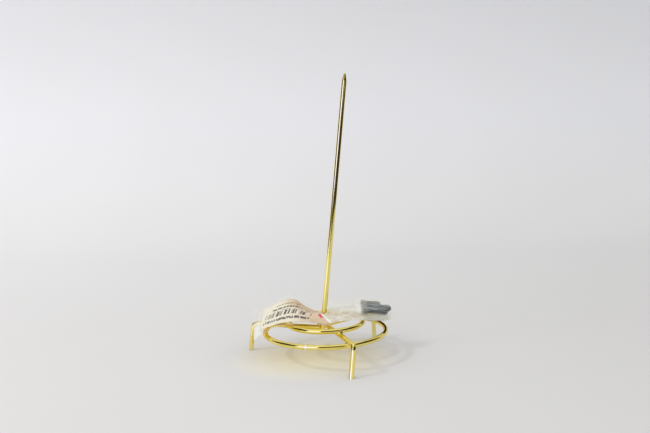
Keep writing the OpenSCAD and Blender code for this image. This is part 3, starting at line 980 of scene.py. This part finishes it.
# Cards that only mirrored light meets, each on an arc round the hub: material, the arc's ends in degrees
# and, for each of its two edges, the distance from the hub and the height, or its heights at both ends
CARD_STEPS = 24
CARDS = (("flag_floor_left", "dark", -115.0, -20.0, (0.95, 0.002), (2.4, 0.002)),
         ("flag_floor_right", "dark", -20.0, 115.0, (0.40, 0.002), (2.4, 0.002)),
         ("flag_far_left", "dark", -115.0, -56.0, (2.4, 0.0), (2.4, 0.06, 0.30)),
         ("flag_front", "dark", -14.0, 33.0, (2.5, 0.0), (2.5, 0.22)),
         ("flag_left", "dark", -112.0, -58.0, (1.0, 0.06, 0.20), (1.0, 0.40)),
         ("flag_right", "dark", 45.0, 112.0, (0.85, 0.065), (0.85, 0.24)),
         ("flag_high_left", "dark", -112.0, -58.0, (0.85, 0.23), (0.85, 1.1)),
         ("flag_high_right", "dark", -14.0, 112.0, (0.85, 0.19, 0.21), (0.85, 1.1)),
         # painted reflection: a glowing warm card round the hub stands in for the brass's light that the
         # wires mirror in one another
         ("card_warm", "warm", -180.0, 180.0, (0.001, 0.001), (0.034, 0.001)),
         # painted shade: a dark card under the packet's right end stands in for its shaded underside that the
         # ring's right end mirrors
         ("shade_card_under_packet", "dark", 84.0, 138.0, (0.026, 0.0215), (0.048, 0.0215)),
         # painted reflection: a glowing warm card at the back left stands in for the label's warm underside
         # that the rings' left end mirrors
         ("card_back", "warm", 185.0, 255.0, (0.046, 0.004), (0.046, 0.028)),
         ("card_left", "pale", -92.0, -75.0, (0.060, 0.0012), (0.105, 0.0012)),
         ("card_floor", "pale", -75.0, -18.0, (0.22, 0.0015), (0.95, 0.0015)),
         ("window_upper", "pale", -52.0, -15.5, (2.5, 0.80), (2.5, 1.3)),
         ("window", "window", -52.0, -15.5, (2.5, 0.0), (2.5, 0.80)))
LAMP_AIM = Vector((0.0, 0.0, 0.08))
# the camera's pitch, yaw and roll in degrees, its distance before the hub, its height and its sensor
CAMERA_TURNS, CAMERA_BACK, CAMERA_HEIGHT, SENSOR_MM = (7.59, 0.36, -1.61), 0.49031, 0.15133, 36.0


class BILLSPIKE_OT_stage(bpy.types.Operator):
    """Sets the floor, the backdrop, the lamps, the cards and the camera."""

    bl_idname = "billspike.stage"
    bl_label = "Set the stage"

    def execute(self, context):
        stage = context.scene.billspike_stage
        context.scene.view_settings.view_transform = "Standard"
        self.set_world(context.scene, stage)
        self.make_sweep(stage)
        self.make_cards(stage)
        self.make_lamps(stage)
        self.make_camera(context.scene, stage)
        return {"FINISHED"}

    def set_world(self, scene, stage):
        """Soft light from all round, with a pale room for what sees or mirrors it."""
        world = bpy.data.worlds.new("studio")
        scene.world = world
        tree = Tree(world)
        path = tree.add("ShaderNodeLightPath")
        mirrored = tree.math("MAXIMUM", path.outputs["Is Glossy Ray"], path.outputs["Is Transmission Ray"])
        lights = (((1.0, 1.0, 1.0), stage.fill), (stage.room, 1.0), (stage.far, 1.0))
        fill, pale, far = (tree.add("ShaderNodeBackground", {"Color": tone, "Strength": light}).outputs[0]
                           for tone, light in lights)
        mixed = tree.add("ShaderNodeMixShader", {0: mirrored, 1: fill, 2: pale}).outputs[0]
        mixed = tree.add("ShaderNodeMixShader", {0: path.outputs["Is Camera Ray"], 1: mixed, 2: far})
        tree.add("ShaderNodeOutputWorld", {"Surface": mixed.outputs[0]})

    def make_strip(self, name, points, material, smooth):
        """A strip of faces between pairs of points."""
        faces = [(2 * k, 2 * k + 1, 2 * k + 3, 2 * k + 2) for k in range(len(points) // 2 - 1)]
        return new_mesh(name, points, faces, material, smooth)

    def make_sweep(self, stage):
        """A floor that curves up into the backdrop behind the object."""
        start = FLOOR_ROWS[-1]
        profile = [(row, 0.0) for row in FLOOR_ROWS]
        for k in range(1, BEND_STEPS + 1):
            angle = math.pi / 2 * k / BEND_STEPS
            rise = BEND_RADIUS - BEND_RADIUS * math.cos(angle)
            profile.append((start + BEND_RADIUS * math.sin(angle), rise))
        profile.append((start + BEND_RADIUS, WALL_HEIGHT))
        points = [(x, y, z) for y, z in profile for x in (-FLOOR_HALF, FLOOR_HALF)]
        floor = self.make_strip("floor", points, floor_material(stage), True)

    def make_cards(self, stage):
        """Dark, pale and warm cards and a window round the object that only mirrored light meets."""
        materials = {
            "dark": flag_material(stage),
            "pale": lit_material("card_white", stage.card, stage.card_light, scale=6.0, dim=0.94),
            "window": lit_material("window_pane", stage.window, stage.window_light, scale=2.0, dim=0.9),
            "warm": lit_material("card_warm", stage.warm, light=1.0, scale=60.0, dim=0.85)}
        for name, look, start, end, low, high in CARDS:
            points = []
            for k in range(CARD_STEPS + 1):
                angle = math.radians(start + (end - start) * k / CARD_STEPS)
                for far, *heights in (low, high):
                    height = heights[0] + (heights[-1] - heights[0]) * k / CARD_STEPS
                    points.append((HUB.x + far * math.sin(angle), HUB.y - far * math.cos(angle), height))
            card = self.make_strip(name, points, materials[look], False)
            for ray in ("camera", "diffuse", "shadow", "transmission"):
                setattr(card, "visible_" + ray, False)

    def make_lamps(self, stage):
        """A wide lamp at the front left and a small one at the left that draws the shadows."""
        # name, power, place and size of each
        lamps = (("key_lamp", stage.key, (-1.30, -1.90, 1.00), (1.20, 0.80)),
                 ("side_lamp", stage.side, (-0.95, -0.35, 1.00), (0.14, 0.14)))
        for name, power, place, size in lamps:
            lamp = bpy.data.lights.new(name, "AREA")
            lamp.shape = "RECTANGLE"
            lamp.size, lamp.size_y = size
            lamp.energy = power
            obj = new_object(name, lamp)
            obj.location = place
            obj.rotation_euler = (LAMP_AIM - Vector(place)).to_track_quat("-Z", "Y").to_euler()
            obj.visible_camera = False
            obj.visible_glossy = False

    def make_camera(self, scene, stage):
        """The camera where the photograph was taken from."""
        pitch, yaw, roll = (math.radians(turn) for turn in CAMERA_TURNS)
        ahead = Vector((math.sin(yaw) * math.cos(pitch), math.cos(yaw) * math.cos(pitch), -math.sin(pitch)))
        right = Vector((math.cos(yaw), -math.sin(yaw), 0.0))
        up = right.cross(ahead)
        tilt = Matrix.Rotation(roll, 3, "Z")
        axes = Matrix((right, up, -ahead)).transposed() @ tilt
        data = bpy.data.cameras.new("camera")
        data.lens = stage.lens
        data.sensor_width = SENSOR_MM
        data.sensor_fit = "HORIZONTAL"
        data.clip_start, data.clip_end = 0.01, 20.0
        camera = new_object("camera", data)
        place = Matrix.Translation((HUB.x, HUB.y - CAMERA_BACK, CAMERA_HEIGHT))
        camera.matrix_world = place @ axes.to_4x4()
        scene.camera = camera


class BILLSPIKE_PT_panel(bpy.types.Panel):
    """Settings of the bill spike's looks."""

    bl_idname = "BILLSPIKE_PT_panel"
    bl_label = "Bill spike"
    bl_space_type = "VIEW_3D"
    bl_region_type = "UI"
    bl_category = "Bill spike"

    def draw(self, context):
        for operator in OPERATORS:
            self.layout.operator(operator.bl_idname)
        for name, group in SETTINGS:
            box = self.layout.box()
            for key in group.__annotations__:
                box.prop(getattr(context.scene, name), key, text=key.replace("_", " ").capitalize())


SETTINGS = (("billspike_brass", BrassSettings), ("billspike_film", FilmSettings),
            ("billspike_label", LabelSettings), ("billspike_caps", CapSettings),
            ("billspike_stage", StageSettings))
OPERATORS = (BILLSPIKE_OT_wire, BILLSPIKE_OT_welds, BILLSPIKE_OT_caps, BILLSPIKE_OT_packet,
             BILLSPIKE_OT_stage)


def register():
    """Adds the settings, the operators and the panel."""
    for name, group in SETTINGS:
        bpy.utils.register_class(group)
        setattr(bpy.types.Scene, name, PointerProperty(type=group))
    for item in (*OPERATORS, BILLSPIKE_PT_panel):
        bpy.utils.register_class(item)


def unregister():
    """Takes them away again."""
    for item in (BILLSPIKE_PT_panel, *reversed(OPERATORS)):
        bpy.utils.unregister_class(item)
    for name, group in reversed(SETTINGS):
        delattr(bpy.types.Scene, name)
        bpy.utils.unregister_class(group)


def main():
    """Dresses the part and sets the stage."""
    register()
    bpy.ops.billspike.wire()
    bpy.ops.billspike.welds()
    bpy.ops.billspike.caps()
    bpy.ops.billspike.packet()
    bpy.ops.billspike.stage()


if __name__ == "__main__":
    main()
